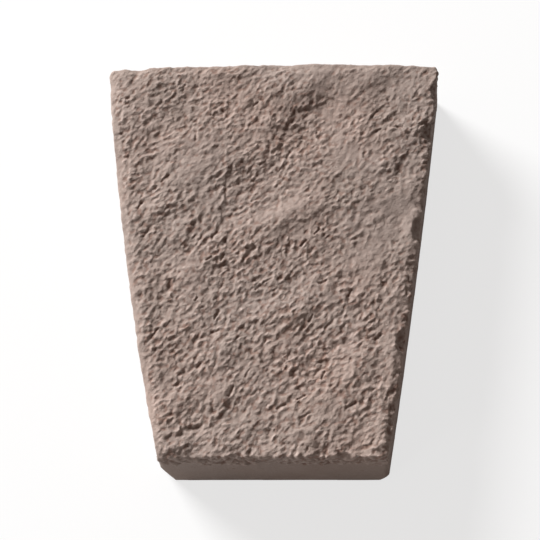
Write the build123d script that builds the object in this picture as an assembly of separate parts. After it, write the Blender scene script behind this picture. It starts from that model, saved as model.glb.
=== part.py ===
from build123d import *
import os
from math import cos, exp, pi, radians, sin, tan

# A cast stone keystone for trim round an arch or over a window, lying on its flat back.
# +Z points out of its rock face, +Y towards its wide end, and +X to the right of someone facing it.
# The origin is at the middle of the back, which is the face that is bedded on the wall.
# Lengths are in millimetres and angles in degrees.

# Block
TOP_WIDTH = 203.8       # across the back at the wide end
BOTTOM_WIDTH = 133.0    # across the back at the narrow end
HEIGHT = 247.0          # along the back, between the corners of its two ends
DEPTH = 51.0            # from the back to the general level of the rock face
MOULD_DRAFT = 1.2       # the four sides lean in by this much towards the face
END_TILT = 0.65         # both ends are out of square with the middle line by this angle, down to the right
CORNER_RADIUS = 4.5     # the upright corners between the sides
BACK_BREAK = 0.8        # the worn edge all round the back

# A soft mould bulges as it is filled, so three of the sides bow out by this much at their middles.
LEFT_BOW = 3.7
RIGHT_BOW = 1.2
TOP_BOW = 2.8

# Rock face
BELLY = 1.2             # the middle of the face stands this much above its general level
GRID_STEP = 5.0         # spacing of the points that the face's surface passes through
CLOSENESS = 0.1         # how nearly it passes through them
OVERHANG = 3.0          # the surface reaches this far past the sides, so that it cuts right through

# Swells run right across the face and cross each other, which leaves low lumps about 20 mm apart.
# (from one crest to the next, direction of the crests from +X, height above the middle, start in degrees)
SWELLS = [
    (58.0, 38.0, 0.40, 0.0),
    (37.0, 62.0, 0.20, 80.0),
    (25.0, 31.0, 0.17, 200.0),
    (21.0, 49.0, 0.16, 310.0),
    (20.0, 12.0, 0.12, 20.0),
    (19.0, 80.0, 0.12, 150.0),
]

# The face rolls over before it meets each side, gently at the left and the top and sharply at the other two.
LEFT_ROLL, LEFT_DROP = 7.0, 3.0
RIGHT_ROLL, RIGHT_DROP = 4.5, 2.4
TOP_ROLL, TOP_DROP = 7.0, 2.4
BOTTOM_ROLL, BOTTOM_DROP = 3.5, 1.9

# The line where the face meets a side wanders in and out, because the roll drops more in some places.
WANDER_SHARE = 0.35     # the share of a side's drop that comes and goes
WANDER_LENGTH = 47.0    # from one low place to the next

# Scoops are the hollows that the stone broke away in. Each starts steeply and runs out gently.
# Places are shares of the face's half width and half height, from its middle.
# (name, across, along, half length, half width, direction of the run-out from +X, depth)
SCOOP_SKEW = 0.38       # 0 puts the deepest point in the middle, 0.5 right under the steep start
SCOOPS = [
    ("high scoop", 0.34, 0.60, 38.0, 34.0, -62.0, 2.8),
    ("middle scoop", 0.06, 0.34, 40.0, 26.0, -8.0, 1.9),
    ("high right scoop", 0.80, 0.72, 19.0, 15.0, -58.0, 1.3),
    ("high left scoop", -0.62, 0.72, 26.0, 22.0, -40.0, 1.0),
    ("left scoop", -0.72, -0.24, 24.0, 20.0, -24.0, 1.4),
    ("waist scoop", -0.10, -0.20, 27.0, 20.0, -48.0, 1.3),
    ("right scoop", 0.60, -0.12, 26.0, 18.0, -50.0, 1.0),
    ("low scoop", 0.40, -0.50, 28.0, 22.0, -52.0, 1.6),
    ("foot left scoop", -0.66, -0.84, 17.0, 19.0, -75.0, 1.6),
    ("foot scoop", -0.12, -0.62, 24.0, 17.0, -45.0, 1.0),
]

# Ridges are what stands between the hollows.
# (name, across and along at one end, across and along at the other, half width, height)
RIDGES = [
    ("middle ridge", -0.15, 0.12, 0.88, 0.34, 9.0, 0.9),
    ("left rise", -0.62, 0.18, -0.50, 0.50, 16.0, 0.7),
    ("low ridge", 0.22, -0.88, 0.80, -0.52, 8.0, 0.8),
]

# Chips are bites out of the line where the face meets a side, each scooped by a ball.
# (name, side, along the side from its middle as a share of its half length, ball radius, bite)
CHIPS = [
    ("high right chip", "right", 0.85, 12.0, 2.0),
    ("right notch", "right", 0.62, 10.0, 2.9),
    ("waist right chip", "right", 0.12, 16.0, 2.6),
    ("low right chip", "right", -0.44, 15.0, 2.2),
    ("foot chip", "bottom", -0.30, 15.0, 1.8),
    ("foot right chip", "bottom", 0.62, 12.0, 1.8),
]

# The two corners of the foot are knocked off at the back.
# (name, left or right as -1 or 1, how far along the foot, along the side and up from the back it reaches)
KNOCKED = [
    ("foot left corner", -1, 7.2, 8.0, 29.0),
    ("foot right corner", 1, 5.6, 4.0, 9.0),
]

half_height = HEIGHT / 2
lean_in = tan(radians(MOULD_DRAFT))
side_taper = (TOP_WIDTH - BOTTOM_WIDTH) / (2 * HEIGHT)
end_fall = tan(radians(END_TILT))


def half_width(y, bow=0.0):
    """How far a side is from the middle line at the level of the face, at a height y from the middle."""
    middle = (TOP_WIDTH + BOTTOM_WIDTH) / 4
    return middle + side_taper * y - lean_in * DEPTH + bow * (1 - (y / half_height) ** 2)


def top_edge(x):
    """Where the top side is at the level of the face, x away from the middle line."""
    return half_height - end_fall * x - lean_in * DEPTH + TOP_BOW * (1 - (2 * x / TOP_WIDTH) ** 2)


def foot_edge(x):
    """Where the foot is at the level of the face, x away from the middle line."""
    return -half_height - end_fall * x + lean_in * DEPTH


def back_corner(side, end):
    """A corner of the back, at the left or right side (-1 or 1) and the foot or the top (-1 or 1)."""
    x = side * (BOTTOM_WIDTH if end < 0 else TOP_WIDTH) / 2
    return x, end * half_height - end_fall * x


def block():
    """The moulded block under the rock face, left too deep so that the face can be cut from it."""
    foot_left, foot_right = back_corner(-1, -1), back_corner(1, -1)
    head_left, head_right = back_corner(-1, 1), back_corner(1, 1)
    outline = Line(foot_left, foot_right)
    outline += SagittaArc(foot_right, head_right, -RIGHT_BOW)
    outline += SagittaArc(head_right, head_left, -TOP_BOW)
    outline += SagittaArc(head_left, foot_left, -LEFT_BOW)
    back = fillet(make_face(outline).vertices(), CORNER_RADIUS)
    tallest = BELLY + sum(rise for *_, rise in RIDGES) + sum(rise for *_, rise, _ in SWELLS)
    raw = extrude(back, DEPTH + tallest, taper=MOULD_DRAFT)
    return chamfer(raw.edges().group_by(Axis.Z)[0], BACK_BREAK)


def scoop(x, y, middle, half_length, half_breadth, run_out, depth):
    """Depth at (x, y) of a hollow that starts steeply and runs out gently in one direction."""
    dx, dy = x - middle[0], y - middle[1]
    turn = radians(run_out)
    ahead = (dx * cos(turn) + dy * sin(turn)) / half_length
    aside = (dy * cos(turn) - dx * sin(turn)) / half_breadth
    if abs(ahead) >= 1 or abs(aside) >= 1:
        return 0.0
    skewed = ahead + SCOOP_SKEW * (1 - ahead**2)
    inside = 1 - skewed**2 - aside**2
    return depth * inside**2 if inside > 0 else 0.0


def ridge(x, y, start, end, half_breadth, rise):
    """Height at (x, y) of a ridge along the line from start to end, rounded off at both ends."""
    run_x, run_y = end[0] - start[0], end[1] - start[1]
    share = ((x - start[0]) * run_x + (y - start[1]) * run_y) / (run_x**2 + run_y**2)
    share = min(max(share, 0.0), 1.0)
    off_x, off_y = x - start[0] - share * run_x, y - start[1] - share * run_y
    away = (off_x**2 + off_y**2) / half_breadth**2
    return rise * exp(-away)


def swell(x, y, crest_to_crest, lean, rise, start):
    """Height at (x, y) of one run of long, low waves."""
    across = y * cos(radians(lean)) - x * sin(radians(lean))
    return rise * sin(2 * pi * across / crest_to_crest + radians(start))


def roll_off(distance, roll, drop, along):
    """How far the face has dropped at a distance inside a side, at a place along that side."""
    inside = min(max(distance, 0.0), roll)
    wander = 1 + WANDER_SHARE * sin(2 * pi * along / WANDER_LENGTH)
    return drop * wander * (1 - inside / roll) ** 2


def place(across, along):
    """The point on the face at shares of its half width and half height."""
    y = along * half_height
    return across * half_width(y), y


def level(x, y):
    """Height of the rock face above the back at (x, y)."""
    across = x / half_width(y)
    along = y / half_height
    z = DEPTH + BELLY * (1 - across**2) * (1 - along**2)
    z += sum(swell(x, y, *each) for each in SWELLS)
    for _, u, v, half_length, half_breadth, run_out, depth in SCOOPS:
        z -= scoop(x, y, place(u, v), half_length, half_breadth, run_out, depth)
    for _, u1, v1, u2, v2, half_breadth, rise in RIDGES:
        z += ridge(x, y, place(u1, v1), place(u2, v2), half_breadth, rise)
    z -= roll_off(half_width(y, LEFT_BOW) + x, LEFT_ROLL, LEFT_DROP, y)
    z -= roll_off(half_width(y, RIGHT_BOW) - x, RIGHT_ROLL, RIGHT_DROP, -y)
    z -= roll_off(top_edge(x) - y, TOP_ROLL, TOP_DROP, x)
    z -= roll_off(y - foot_edge(x), BOTTOM_ROLL, BOTTOM_DROP, -x)
    return z


def rock_face():
    """One smooth surface through a grid of levels. The grid's columns fan out along the sides."""
    columns = round(TOP_WIDTH / GRID_STEP)
    rows = round(HEIGHT / GRID_STEP)
    lowest = -half_height - OVERHANG
    highest = half_height + TOP_BOW + OVERHANG
    points = []
    for row in range(rows + 1):
        y = lowest + (highest - lowest) * row / rows
        left = -half_width(y, LEFT_BOW) - OVERHANG
        right = half_width(y, RIGHT_BOW) + OVERHANG
        points.append([])
        for column in range(columns + 1):
            x = left + (right - left) * column / columns
            points[-1].append((x, y, level(x, y)))
    return Face.make_surface_from_array_of_points(points, tol=CLOSENESS, min_deg=3, max_deg=3)


def chip_ball(side, share, radius, bite):
    """The ball that bites a chip of the stated depth out of the line where the face meets a side."""
    if side == "right":
        y = share * half_height
        x = half_width(y, RIGHT_BOW)
        outward = Vector(1, -side_taper).normalized()
    else:
        x, y = place(share, -1.0)
        outward = Vector(0, -1)
    away = (outward + Vector(0, 0, 1)).normalized()
    return Pos(Vector(x, y, level(x, y)) + away * (radius - bite)) * Sphere(radius)


def knocked_off(side, along_foot, along_side, up):
    """The waste beyond a slanted plane that takes a corner off the foot."""
    corner = Vector(*back_corner(side, -1), 0)
    to_head = (Vector(*back_corner(side, 1), 0) - corner).normalized()
    to_other = (Vector(*back_corner(-side, -1), 0) - corner).normalized()
    on_foot = corner + to_other * along_foot
    on_side = corner + to_head * along_side
    on_corner = corner + Vector(-side * lean_in, lean_in, 1) * up
    outward = (on_side - on_foot).cross(on_corner - on_foot).normalized()
    if outward.dot(corner - on_foot) < 0:
        outward = -outward
    waste = Box(2 * DEPTH, 2 * DEPTH, DEPTH, align=(Align.CENTER, Align.CENTER, Align.MIN))
    return Plane(origin=(on_foot + on_side + on_corner) / 3, z_dir=outward) * waste


def keystone():
    """The block with everything above its rock face cut off, and the chips and corners knocked off it."""
    waste = extrude(rock_face(), DEPTH, dir=(0, 0, 1))
    stone = block() - waste
    for _, side, share, radius, bite in CHIPS:
        stone -= chip_ball(side, share, radius, bite)
    for _, side, along_foot, along_side, up in KNOCKED:
        stone -= knocked_off(side, along_foot, along_side, up)
    middle = stone.bounding_box().center()
    return Pos(-middle.X, -middle.Y, 0) * stone


os.makedirs("parts", exist_ok=True)
stone = keystone()
stone.label = "keystone"
export_step(stone, "parts/keystone.step")
box = stone.bounding_box()
print("size", box.size, "top", box.max.Z, "volume", stone.volume, "solids", len(stone.solids()))
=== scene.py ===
from math import cos, radians, sin

import bpy
import numpy as np
from mathutils import Matrix, Vector


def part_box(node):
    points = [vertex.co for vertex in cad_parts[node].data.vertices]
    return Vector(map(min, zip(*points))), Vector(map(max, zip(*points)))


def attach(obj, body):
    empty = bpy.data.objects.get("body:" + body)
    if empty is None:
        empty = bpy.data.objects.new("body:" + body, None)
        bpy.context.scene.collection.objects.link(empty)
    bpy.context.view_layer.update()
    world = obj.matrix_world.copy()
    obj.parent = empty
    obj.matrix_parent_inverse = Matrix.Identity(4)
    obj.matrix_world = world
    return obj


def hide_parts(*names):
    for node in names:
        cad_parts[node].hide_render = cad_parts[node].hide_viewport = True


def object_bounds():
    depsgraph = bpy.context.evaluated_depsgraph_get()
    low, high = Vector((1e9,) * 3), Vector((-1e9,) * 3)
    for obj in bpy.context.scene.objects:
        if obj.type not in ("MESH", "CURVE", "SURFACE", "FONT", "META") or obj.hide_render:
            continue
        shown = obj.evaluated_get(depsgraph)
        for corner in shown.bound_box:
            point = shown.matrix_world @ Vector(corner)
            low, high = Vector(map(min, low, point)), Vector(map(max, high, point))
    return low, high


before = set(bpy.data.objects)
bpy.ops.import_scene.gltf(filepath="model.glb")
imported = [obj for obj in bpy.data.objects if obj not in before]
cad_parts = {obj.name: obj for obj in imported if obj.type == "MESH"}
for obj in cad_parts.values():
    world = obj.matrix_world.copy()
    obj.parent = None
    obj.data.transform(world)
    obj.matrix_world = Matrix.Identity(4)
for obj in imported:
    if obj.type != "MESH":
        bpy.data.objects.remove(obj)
cad_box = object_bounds()

# The stone
# Lengths here are in millimetres. The row frame is in metres, so M turns one into the other.
M = 0.001
VOXEL = 0.5             # size of the mesh's cells before it is thinned out
TRIANGLES = 195000      # what the piece keeps

# The block's outline at the level of the face. The three outer sides bow out by this much at their middles.
HALF_WIDTH = 83.1       # from the middle line to a side, halfway up
GROWTH = 0.143          # how much that grows for each millimetre up
LEFT_BOW, RIGHT_BOW, TOP_BOW = 3.7, 1.2, 2.8
END_FALL = 0.0113       # how much both ends fall for each millimetre to the right


def lattice(seed):
    """A shuffled table and a set of unit vectors for one layer of noise."""
    rng = np.random.default_rng(seed)
    vectors = rng.normal(size=(256, 3))
    vectors /= np.linalg.norm(vectors, axis=1)[:, None]
    return rng.permutation(256), vectors


def cell_hash(table, cell):
    """A shuffled number, 0 to 255, for each cell."""
    h = table[cell[:, 0] & 255]
    h = table[(h + cell[:, 1]) & 255]
    return table[(h + cell[:, 2]) & 255]


def noise(p, size, seed):
    """Smooth noise, about -0.6 to 0.6, with bumps about as wide as size."""
    table, vectors = lattice(seed)
    q = p / size
    base = np.floor(q).astype(np.int64)
    f = q - base
    fade = f * f * f * (f * (f * 6 - 15) + 10)
    total = np.zeros(len(p))
    for corner in np.ndindex(2, 2, 2):
        c = np.array(corner)
        gradient = vectors[cell_hash(table, base + c)]
        weight = np.prod(np.where(c == 1, fade, 1 - fade), axis=1)
        total += weight * np.einsum("ij,ij->i", gradient, f - c)
    return total


def turned(p, direction, stretch):
    """Places drawn together along a direction on the face, so that a noise there is drawn out that way."""
    c, s = cos(radians(direction)), sin(radians(direction))
    along = p[:, 0] * c + p[:, 1] * s
    across = p[:, 1] * c - p[:, 0] * s
    return np.stack([along / stretch, across * 0.8 + p[:, 2] * 0.6, p[:, 2] * 0.8 - across * 0.6], axis=1)


def smooth(t):
    """An eased share, from 0 to 1."""
    t = np.clip(t, 0, 1)
    return t * t * (3 - 2 * t)


def creases(q, size, seed, width, share):
    """Lines, 0 to 1 strong, where a noise changes sign. A greater share keeps more of them."""
    near = 1 - np.abs(noise(q, size, seed)) / width
    kept = smooth((noise(q, size * 1.5, seed + 500) + share) / 0.25)
    return np.clip(near, 0, 1) * kept


def pits(p, size, seed, radius, wanted):
    """Rounded pits, 0 to 1 deep, at random places, in a share of cells of the given size."""
    table, vectors = lattice(seed)
    q = p / size
    base = np.floor(q).astype(np.int64)
    deepest = np.zeros(len(p))
    for offset in np.ndindex(3, 3, 3):
        cell = base + np.array(offset) - 1
        h = cell_hash(table, cell)
        centre = cell + 0.5 + 0.45 * vectors[h]
        reach = radius * (0.55 + 0.45 * np.abs(vectors[(h + 91) & 255, 0]))
        near = 1 - np.linalg.norm(q - centre, axis=1) * size / reach
        here = np.where(h < wanted * 256, np.clip(near, 0, 1), 0)
        deepest = np.maximum(deepest, here)
    return deepest * (2 - deepest)


# Ledges are small steps down, towards the right of the line as it is drawn, then a gentle way back up.
# (points in mm on the face, drop, width of the step, run of the way back up)
LEDGES = [
    ([(-2, 83), (5, 82), (12, 87), (19, 95), (31, 99), (37, 101), (43, 97)], 0.6, 1.8, 18),
    ([(-32, 11), (-31, 29), (-29, 43), (-28, 51), (-25, 59)], 0.6, 1.8, 14),
    ([(-72, -49), (-67, -31), (-62, -14)], 0.8, 2.0, 12),
    ([(-63, -110), (-52, -108), (-47, -105), (-39, -104)], 1.4, 1.8, 9),
    ([(19, -68), (36, -67), (51, -62)], 0.7, 1.8, 10),
    ([(61, 84), (68, 88), (75, 91)], 0.8, 1.8, 10),
    ([(-37, -9), (-29, -5), (-21, -4)], 0.7, 1.6, 9),
    ([(61, 65), (71, 67), (77, 65)], 0.8, 1.6, 9),
    ([(-57, -75), (-47, -67), (-41, -63)], 0.6, 1.6, 9),
]

# Nicks are short grooves that stand out from the general roughness.
# (x and y of the middle, length, direction from +X in degrees, depth)
NICKS = [
    (-54, 108, 8, 74, 0.9), (-10, 97, 5, 42, 0.9), (62, 89, 7, 44, 1.0), (76, 80, 7, -10, 1.1),
    (-46, 77, 8, 86, 0.9), (28, 76, 7, -72, 0.8), (64, 78, 5, 33, 1.1), (10, 63, 7, 67, 1.1),
    (-5, 58, 6, 29, 0.8), (-64, 49, 8, 40, 1.0), (-10, 49, 6, 47, 0.8), (8, 49, 5, 57, 0.9),
    (-79, 32, 6, 63, 1.1), (-75, 14, 7, 50, 0.8), (27, 13, 6, 51, 1.1), (-34, 12, 6, 44, 1.3),
    (19, 6, 7, 51, 1.3), (-13, 0, 12, 45, 1.1), (-29, -2, 6, 70, 1.2), (-37, -3, 5, 36, 1.3),
    (-2, -17, 7, 26, 1.0), (30, -19, 6, 20, 1.2), (-8, -21, 6, 49, 1.2), (46, -26, 6, 61, 1.1),
    (-44, -28, 4, 62, 1.6), (-32, -38, 8, 67, 1.2), (23, -41, 6, 61, 0.9), (33, -46, 6, 41, 0.9),
    (-68, -48, 7, 52, 1.1), (-33, -48, 7, 20, 0.9), (62, -53, 7, 44, 0.8), (-42, -69, 6, 49, 1.2),
    (-14, -74, 6, 63, 0.9), (30, -76, 6, 66, 0.9), (-23, -85, 8, 66, 1.1), (17, -89, 7, 28, 1.2),
    (6, -94, 8, 28, 1.1), (46, -94, 8, 28, 1.1), (19, -100, 8, 25, 0.9),
]

# Patches where the face is calmer (below 0) or rougher: x and y of the middle, radius, by how much
PATCHES = [
    (35, 118, 16, -0.40), (78, 105, 9, -0.30), (77, 23, 14, -0.60), (47, 59, 9, -0.30),
    (-46, 55, 12, -0.35), (-42, -19, 10, -0.30), (4, 21, 12, -0.30), (61, -71, 10, -0.40),
    (55, -6, 13, -0.25), (34, -95, 8, -0.15), (-19, -2, 14, 0.45), (12, 68, 10, 0.25),
    (-63, 35, 9, 0.25), (-30, 89, 8, 0.25), (-53, -52, 18, 0.20), (24, -64, 20, 0.25),
    (-12, 46, 10, 0.20), (11, -14, 14, 0.20), (90, 78, 8, 0.20), (69, -91, 9, 0.30),
]


def line_field(x, y, points):
    """Distance to a broken line, which side of it a place is on (-1 or 1), and how far it is from its ends."""
    best = np.full(x.shape, 1e9)
    side = np.zeros(x.shape)
    along = np.zeros(x.shape)
    run = 0.0
    for (ax, ay), (bx, by) in zip(points, points[1:]):
        length = np.hypot(bx - ax, by - ay)
        ux, uy = (bx - ax) / length, (by - ay) / length
        s = np.clip((x - ax) * ux + (y - ay) * uy, 0, length)
        dx, dy = x - ax - s * ux, y - ay - s * uy
        d = np.hypot(dx, dy)
        nearer = d < best
        best = np.where(nearer, d, best)
        side = np.where(nearer, np.sign(dx * uy - dy * ux), side)
        along = np.where(nearer, run + s, along)
        run += length
    return best, side, np.minimum(along, run - along)


def ledges(x, y):
    """Height that the ledges take off at each place."""
    total = np.zeros(x.shape)
    for points, drop, width, back in LEDGES:
        away, side, ends = line_field(x, y, points)
        fade = smooth(ends / 6 + 0.15) * smooth(1 - away / back)
        total += np.where(side > 0, drop * smooth(away / width) * fade, 0)
    return total


def nicks(x, y):
    """Depth of the nicks at each place."""
    total = np.zeros(x.shape)
    for middle_x, middle_y, length, direction, depth in NICKS:
        turn = radians(direction)
        near = np.flatnonzero((np.abs(x - middle_x) < length) & (np.abs(y - middle_y) < length))
        dx, dy = x[near] - middle_x, y[near] - middle_y
        along = dx * cos(turn) + dy * sin(turn)
        across = dy * cos(turn) - dx * sin(turn)
        half, width = length / 2, 0.4 + 0.08 * length
        over = np.maximum(np.abs(along) - half + width, 0)
        inside = 1 - (over**2 + across**2) / width**2
        total[near] = np.maximum(total[near], depth * np.clip(inside, 0, 1))
    return total


def stone_relief(p, n):
    """How far the cast surface stands off the smooth solid along its normal, and how rough it is there."""
    lo, hi = (np.array(v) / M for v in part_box("keystone"))
    x, y, z = p.T
    half_height = (hi[1] - lo[1]) / 2 - 1
    bow = 1 - (y / half_height) ** 2
    from_left = HALF_WIDTH + GROWTH * y + LEFT_BOW * bow + x
    from_right = HALF_WIDTH + GROWTH * y + RIGHT_BOW * bow - x
    from_top = half_height - TOP_BOW * (x / hi[0]) ** 2 - END_FALL * x - y
    from_bottom = half_height + END_FALL * x + y

    # Rock covers the face and a ragged strip of the sides just under it. Below that the sides are smooth.
    up = smooth((n[:, 2] + 0.05) / 0.45)
    ragged = noise(p, 9.0, 61) + 0.5 * noise(p, 4.4, 62)
    reach = 8.0 + 8.0 * smooth(1 - (from_bottom - 1.0) / 3.0)
    skirt = smooth(1 - (hi[2] - z - reach - 7.0 * ragged) / 4.0)
    rock = np.clip(up + (1 - up) * skirt, 0, 1)

    calm = 0.64 + 0.36 * smooth(0.45 + 1.8 * (noise(p, 13.0, 21) + 0.6 * noise(p, 7.0, 22)))
    for middle_x, middle_y, radius, change in PATCHES:
        calm += change * np.exp(-((x - middle_x) ** 2 + (y - middle_y) ** 2) / (2 * radius**2))
    # The left and top edges are the calmest.
    calm *= 0.2 + 0.8 * smooth((from_left - 0.5) / 4.5)
    calm *= 0.35 + 0.65 * smooth((from_top - 0.5) / 3.5)

    # Lumps and marks of several sizes, drawn out towards the high right, with crossing grooves and ribs.
    bend = np.stack([noise(p, 5.0, 11), noise(p, 5.0, 12), np.zeros(len(p))], axis=1)
    bend[:, 0] += 0.7 * noise(p, 2.1, 15)
    bend[:, 1] += 0.7 * noise(p, 2.1, 16)
    q47, q38, q57, q50 = (turned(p, *t) + bend for t in ((47, 1.25), (38, 1.3), (57, 1.3), (50, 1.5)))
    face = 0.9 * noise(turned(p, 38, 1.3), 14, 32) + 0.5 * noise(q47, 7.6, 37)
    face += 0.76 * noise(q47, 4.3, 33)
    fine = 0.45 * noise(q57, 3.2, 34)
    fine += 1.15 * noise(q38, 2.4, 35) + 0.3 * noise(q57, 1.7, 36)
    fine -= 0.35 * creases(q50, 3.8, 41, 0.16, 0.0)
    fine += 0.35 * creases(q38, 4.4, 43, 0.16, 0.0)
    face += calm * fine
    on_face = smooth((n[:, 2] - 0.2) / 0.4) * smooth((from_left - 0.5) / 4.5)
    sway_x, sway_y = 6.0 * noise(p, 9.0, 13), 6.0 * noise(p, 9.0, 14)
    face -= ledges(x + sway_x + 1.4 * bend[:, 0], y + sway_y + 1.4 * bend[:, 1]) * on_face
    face -= 0.8 * nicks(x + 0.8 * bend[:, 1], y + 0.8 * bend[:, 0]) * on_face

    # The top edge stands out a little. The right and foot edges have a low lip, and crumble away under it.
    face += 0.7 * smooth(1 - (from_top + 2.0) / 5.0)
    pitched = np.maximum(smooth(1 - (from_right - 1.0) / 4.5), smooth(1 - (from_bottom - 1.0) / 3.0))
    foot_lip = smooth(1 - from_bottom / 4.5) * smooth((from_left - 1) / 8)
    lip = np.maximum(smooth(1 - from_right / 6), foot_lip)
    face += 0.8 * lip + pitched * (1.8 - 1.05 * up) * (noise(p, 4.4, 71) + 0.9 * noise(p, 2.6, 72))
    face -= pitched * 1.5 * np.clip(noise(p, 6.0, 73) + 0.35 * noise(p, 3.0, 74), 0, 1)

    # The smooth sides have a faint wave and small air holes.
    sand = 0.06 * noise(p, 2.4, 51) + 0.28 * noise(p, 14.0, 52)
    bubbles = 0.45 * pits(p, 9.0, 55, 1.3, 0.30)
    return rock * face + (1 - rock) * (sand - bubbles), rock * calm


def build_stone():
    """A closed mesh over the CAD solid, with the cast rock's relief in it."""
    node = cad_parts["keystone"]
    mesh = node.data.copy()
    mesh.name = "cast_stone"
    mesh.materials.clear()
    stone = bpy.data.objects.new("cast_stone", mesh)
    bpy.context.scene.collection.objects.link(stone)

    def applied(kind, **settings):
        """Puts a modifier on the stone and applies it."""
        modifier = stone.modifiers.new(kind.lower(), kind)
        for key, value in settings.items():
            setattr(modifier, key, value)
        depsgraph = bpy.context.evaluated_depsgraph_get()
        made = bpy.data.meshes.new_from_object(stone.evaluated_get(depsgraph))
        stone.modifiers.clear()
        old = stone.data
        stone.data = made
        bpy.data.meshes.remove(old)

    applied("REMESH", mode="VOXEL", voxel_size=VOXEL * M, adaptivity=0.0)

    count = len(stone.data.vertices)
    p = np.empty(count * 3)
    n = np.empty(count * 3)
    stone.data.vertices.foreach_get("co", p)
    stone.data.vertices.foreach_get("normal", n)
    p = p.reshape(-1, 3) / M
    n = n.reshape(-1, 3)
    height, roughness = stone_relief(p, n)
    # The back lies flat, so the relief fades towards it.
    height *= smooth(p[:, 2] / 2.5) * 0.9 + 0.1
    p = p + n * height[:, None]
    lo, hi = (np.array(v) / M for v in cad_box)
    p = np.clip(p, lo + 0.02, hi - 0.02)
    stone.data.vertices.foreach_set("co", (p * M).ravel())
    stone.data.update()
    stone.data.attributes.new("roughness", "FLOAT", "POINT").data.foreach_set("value", roughness)

    faces = sum(len(f.vertices) - 2 for f in stone.data.polygons)
    applied("DECIMATE", decimate_type="COLLAPSE", ratio=TRIANGLES / faces, use_collapse_triangulate=True)
    stone.data.name = "cast_stone"
    stone.data.polygons.foreach_set("use_smooth", [True] * len(stone.data.polygons))
    print("stone:", len(stone.data.polygons), "triangles")
    return stone


# Materials
def node_tree(name):
    """A new material and its empty node tree."""
    material = bpy.data.materials.new(name)
    material.use_nodes = True
    tree = material.node_tree
    tree.nodes.clear()
    return material, tree


def add(tree, kind, **settings):
    """A new node, with the given values on its inputs or its settings."""
    node = tree.nodes.new(kind)
    for key, value in settings.items():
        if key in node.inputs:
            node.inputs[key].default_value = value
        else:
            setattr(node, key, value)
    return node


def rays_that_show(tree):
    """1 for the rays that show a surface itself, and 0 for those that only light the stone."""
    rays = add(tree, "ShaderNodeLightPath")
    either = add(tree, "ShaderNodeMath", operation="MAXIMUM")
    any_of = add(tree, "ShaderNodeMath", operation="MAXIMUM")
    tree.links.new(rays.outputs["Is Camera Ray"], either.inputs[0])
    tree.links.new(rays.outputs["Is Glossy Ray"], either.inputs[1])
    tree.links.new(either.outputs["Value"], any_of.inputs[0])
    tree.links.new(rays.outputs["Is Transmission Ray"], any_of.inputs[1])
    return any_of.outputs["Value"]


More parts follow.
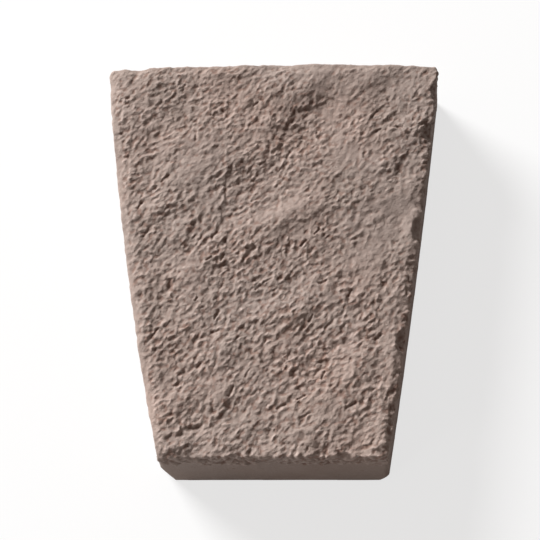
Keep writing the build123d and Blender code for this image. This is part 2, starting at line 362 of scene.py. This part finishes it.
def stone_material():
    """Greyish brown cast stone: mottled pigment, paler and darker grains, painted shade in its hollows, its
    marks and towards the high right corner, sharp edges paler partly from wear and partly as a painted
    highlight, and the finest grain as bump.
    """
    material, tree = node_tree("cast_stone")
    link = tree.links.new
    out = add(tree, "ShaderNodeOutputMaterial")
    shader = add(tree, "ShaderNodeBsdfPrincipled", Roughness=0.93)
    shader.inputs["Specular IOR Level"].default_value = 0.22
    link(shader.outputs["BSDF"], out.inputs["Surface"])
    place = add(tree, "ShaderNodeTexCoord")

    def texture(scale, detail, roughness=0.55):
        node = add(tree, "ShaderNodeTexNoise")
        node.inputs["Scale"].default_value = scale
        node.inputs["Detail"].default_value = detail
        node.inputs["Roughness"].default_value = roughness
        link(place.outputs["Object"], node.inputs["Vector"])
        return node

    def ramp(source, stops):
        node = add(tree, "ShaderNodeValToRGB")
        link(source, node.inputs["Fac"])
        while len(node.color_ramp.elements) < len(stops):
            node.color_ramp.elements.new(0.5)
        for element, (position, colour) in zip(node.color_ramp.elements, stops):
            element.position = position
            element.color = (*colour, 1)
        return node

    def mix(kind, share, a, b):
        node = add(tree, "ShaderNodeMix", data_type="RGBA", blend_type=kind)
        if isinstance(share, float):
            node.inputs["Factor"].default_value = share
        else:
            link(share, node.inputs["Factor"])
        link(a, node.inputs["A"])
        link(b, node.inputs["B"])
        return node.outputs["Result"]

    # Painted shade darkens the hollows by their pointiness. The sharp edges are paler, partly wear and partly
    # a painted highlight.
    hollow_shade_and_edge_wear = ramp(add(tree, "ShaderNodeNewGeometry").outputs["Pointiness"],
                [(0.42, (0.33, 0.27, 0.245)), (0.50, (0.5, 0.5, 0.5)), (0.56, (0.68, 0.685, 0.69))])
    mottle = ramp(texture(38, 3).outputs["Fac"],
                  [(0.30, (0.308, 0.244, 0.213)), (0.70, (0.350, 0.281, 0.249))])
    blush = ramp(texture(17, 2).outputs["Fac"], [(0.40, (0.5, 0.5, 0.5)), (0.72, (0.53, 0.49, 0.475))])
    colour = mix("OVERLAY", 0.6, mottle.outputs["Color"], blush.outputs["Color"])
    grains = ramp(texture(900, 2, 0.7).outputs["Fac"],
                  [(0.30, (0.40, 0.39, 0.38)), (0.70, (0.60, 0.61, 0.62))])
    colour = mix("OVERLAY", 0.25, colour, grains.outputs["Color"])
    colour = mix("OVERLAY", 1.0, colour, hollow_shade_and_edge_wear.outputs["Color"])

    # Torn marks, drawn out towards the high right, only where the stone is rough. Their depths are darkened
    # with painted shade
    drawn_out = add(tree, "ShaderNodeMapping", vector_type="TEXTURE")
    drawn_out.inputs["Rotation"].default_value = (0, 0, radians(47))
    drawn_out.inputs["Scale"].default_value = (1.25, 1, 1)
    link(place.outputs["Object"], drawn_out.inputs["Vector"])
    torn = texture(390, 0.6, 0.5)
    link(drawn_out.outputs["Vector"], torn.inputs["Vector"])
    roughness = add(tree, "ShaderNodeAttribute", attribute_name="roughness")
    held = add(tree, "ShaderNodeMix", data_type="RGBA")
    held.inputs["A"].default_value = (0.5, 0.5, 0.5, 1)
    link(roughness.outputs["Fac"], held.inputs["Factor"])
    link(torn.outputs["Fac"], held.inputs["B"])
    marks = add(tree, "ShaderNodeBump", Strength=1.0, Distance=0.0014)
    link(held.outputs["Result"], marks.inputs["Height"])
    # Painted shade in the marks' depths, and a touch paler on their high parts
    painted_mark_shade = ramp(held.outputs["Result"],
                  [(0.34, (0.36, 0.31, 0.29)), (0.47, (0.5, 0.5, 0.5)), (0.62, (0.53, 0.53, 0.53))])
    colour = mix("OVERLAY", 1.0, colour, painted_mark_shade.outputs["Color"])

    # Painted shade: the colour is a little darker towards the high right corner, standing in for the light
    # falling off across the face.
    parts = add(tree, "ShaderNodeSeparateXYZ")
    link(place.outputs["Object"], parts.inputs["Vector"])
    corner = add(tree, "ShaderNodeMath", operation="ADD")
    corner.inputs[1].default_value = 0.1
    link(parts.outputs["X"], corner.inputs[0])
    towards = add(tree, "ShaderNodeMath", operation="MULTIPLY")
    link(corner.outputs["Value"], towards.inputs[0])
    link(parts.outputs["Y"], towards.inputs[1])
    painted_corner_shade = add(tree, "ShaderNodeMapRange")
    painted_corner_shade.inputs["From Min"].default_value = -0.02
    painted_corner_shade.inputs["From Max"].default_value = 0.02
    painted_corner_shade.inputs["To Min"].default_value = 1.0
    painted_corner_shade.inputs["To Max"].default_value = 0.8
    link(towards.outputs["Value"], painted_corner_shade.inputs["Value"])
    colour = mix("MULTIPLY", 1.0, colour, painted_corner_shade.outputs["Result"])
    link(colour, shader.inputs["Base Color"])

    # The finest grain
    coarse = texture(700, 2, 0.6)
    link(drawn_out.outputs["Vector"], coarse.inputs["Vector"])
    fine = texture(1500, 2, 0.6)
    bump = add(tree, "ShaderNodeBump", Strength=1.0, Distance=0.0004)
    link(coarse.outputs["Fac"], bump.inputs["Height"])
    link(marks.outputs["Normal"], bump.inputs["Normal"])
    grit = add(tree, "ShaderNodeBump", Strength=1.0, Distance=0.0002)
    link(fine.outputs["Fac"], grit.inputs["Height"])
    link(bump.outputs["Normal"], grit.inputs["Normal"])
    link(grit.outputs["Normal"], shader.inputs["Normal"])
    return material


def floor_material():
    """Pale floor, white to the camera but for the object's soft shadow."""
    material, tree = node_tree("floor")
    link = tree.links.new
    out = add(tree, "ShaderNodeOutputMaterial")
    matt = add(tree, "ShaderNodeBsdfDiffuse", Color=(0.58, 0.58, 0.58, 1))
    seen = add(tree, "ShaderNodeBsdfDiffuse", Color=(0.90, 0.90, 0.90, 1))
    glow = add(tree, "ShaderNodeEmission", Color=(1, 1, 1, 1), Strength=1.0)
    to_camera = add(tree, "ShaderNodeMixShader")
    to_camera.inputs["Fac"].default_value = 0.72
    link(seen.outputs["BSDF"], to_camera.inputs[1])
    link(glow.outputs["Emission"], to_camera.inputs[2])
    pick = add(tree, "ShaderNodeMixShader")
    link(rays_that_show(tree), pick.inputs["Fac"])
    link(matt.outputs["BSDF"], pick.inputs[1])
    link(to_camera.outputs["Shader"], pick.inputs[2])
    link(pick.outputs["Shader"], out.inputs["Surface"])
    return material


# Scene
stone = build_stone()
stone.data.materials.append(stone_material())
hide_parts("keystone")
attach(stone, "root")

floor_mesh = bpy.data.meshes.new("floor")
reach = 6.0
corners = [(-reach, -reach, 0), (reach, -reach, 0), (reach, reach, 0), (-reach, reach, 0)]
floor_mesh.from_pydata(corners, [], [(0, 1, 2, 3)])
floor = bpy.data.objects.new("floor", floor_mesh)
bpy.context.scene.collection.objects.link(floor)
floor_mesh.materials.append(floor_material())

world = bpy.data.worlds.new("studio")
bpy.context.scene.world = world
world.use_nodes = True
tree = world.node_tree
tree.nodes.clear()
out = add(tree, "ShaderNodeOutputWorld")
white = add(tree, "ShaderNodeBackground", Color=(1, 1, 1, 1), Strength=1.0)
dim = add(tree, "ShaderNodeBackground", Color=(1.0, 0.85, 0.77, 1), Strength=0.17)
pick = add(tree, "ShaderNodeMixShader")
tree.links.new(rays_that_show(tree), pick.inputs["Fac"])
tree.links.new(dim.outputs["Background"], pick.inputs[1])
tree.links.new(white.outputs["Background"], pick.inputs[2])
tree.links.new(pick.outputs["Shader"], out.inputs["Surface"])


def lamp(name, direction, height, distance, size, power):
    """An area lamp aimed at the stone, from a direction on the floor and a height above it in degrees."""
    data = bpy.data.lights.new(name, "AREA")
    data.shape = "DISK"
    data.size = size
    data.energy = power
    level = cos(radians(height))
    away = Vector((level * cos(radians(direction)), level * sin(radians(direction)), sin(radians(height))))
    obj = bpy.data.objects.new(name, data)
    obj.location = away * distance
    obj.rotation_mode = "QUATERNION"
    obj.rotation_quaternion = (-away).to_track_quat("-Z", "Y")
    bpy.context.scene.collection.objects.link(obj)


lamp("key", direction=135, height=26.0, distance=6.0, size=2.8, power=745.0)
lamp("fill", direction=-140, height=14, distance=2.6, size=0.8, power=8.0)

# The camera stands where the one of the photograph did.
camera_data = bpy.data.cameras.new("camera")
camera_data.sensor_fit = "HORIZONTAL"
camera_data.sensor_width = 36.0
camera_data.lens = 133.3
camera = bpy.data.objects.new("camera", camera_data)
look = Vector((-0.0549, 0.3496, -0.9353)).normalized()
up = Vector((0.0171, 0.9369, 0.3492))
right = look.cross(up).normalized()
up = right.cross(look).normalized()
facing = Matrix((right, up, -look)).transposed().to_4x4()
camera.matrix_world = Matrix.Translation(Vector((0.0636, -0.4216, 1.1507))) @ facing
bpy.context.scene.collection.objects.link(camera)
bpy.context.scene.camera = camera
bpy.context.scene.view_settings.view_transform = "Standard"

bpy.context.view_layer.update()
